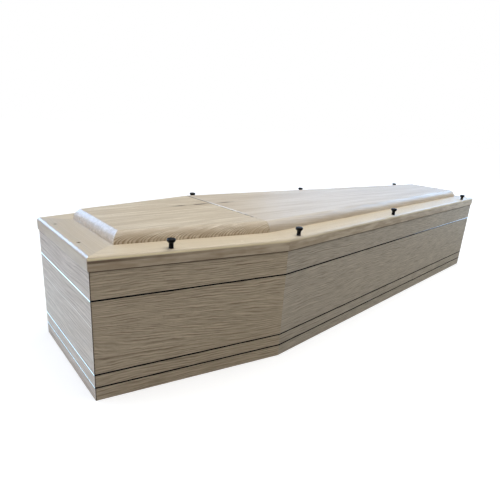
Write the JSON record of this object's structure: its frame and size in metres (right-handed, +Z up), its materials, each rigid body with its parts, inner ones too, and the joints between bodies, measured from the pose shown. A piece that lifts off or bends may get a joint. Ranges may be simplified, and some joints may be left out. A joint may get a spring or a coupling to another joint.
{
  "type": "wooden coffin",
  "caption": "Shouldered coffin in pale limed timber, with vertical board sides, bright inlaid strips, a framed lid with a raised panel, and black lid screws.",
  "frame": {"origin": "centre of the footprint, on the floor", "axes": "+X along the coffin towards the foot end, +Y towards its far side, +Z up"},
  "size_m": [1.95, 0.598, 0.386],
  "materials": {
    "side_veneer": "limed, open grain, matt",
    "base_board": "plain sanded, uncoated",
    "inlay_metal": "mirror",
    "lid_timber": "limed, satin lacquer",
    "panel_timber": "limed, satin lacquer",
    "screw_black": "semi-gloss black"
  },
  "bodies": {
    "root": {"head_board": "side_veneer", "foot_board": "side_veneer", "near_head_side": "side_veneer", "near_foot_side": "side_veneer", "far_head_side": "side_veneer", "far_foot_side": "side_veneer", "base_board": "base_board", "lower_inlay": "inlay_metal", "middle_inlay": "inlay_metal", "upper_inlay": "inlay_metal", "lid_head_rail": "lid_timber", "lid_foot_rail": "lid_timber", "lid_near_head_rail": "lid_timber", "lid_near_foot_rail": "lid_timber", "lid_far_head_rail": "lid_timber", "lid_far_foot_rail": "lid_timber", "panel_head_part": "panel_timber", "panel_foot_part": "panel_timber", "near_screw_1": "screw_black", "near_screw_2": "screw_black", "near_screw_3": "screw_black", "near_screw_4": "screw_black", "far_screw_1": "screw_black", "far_screw_2": "screw_black", "far_screw_3": "screw_black"}
  },
  "joints": []
}
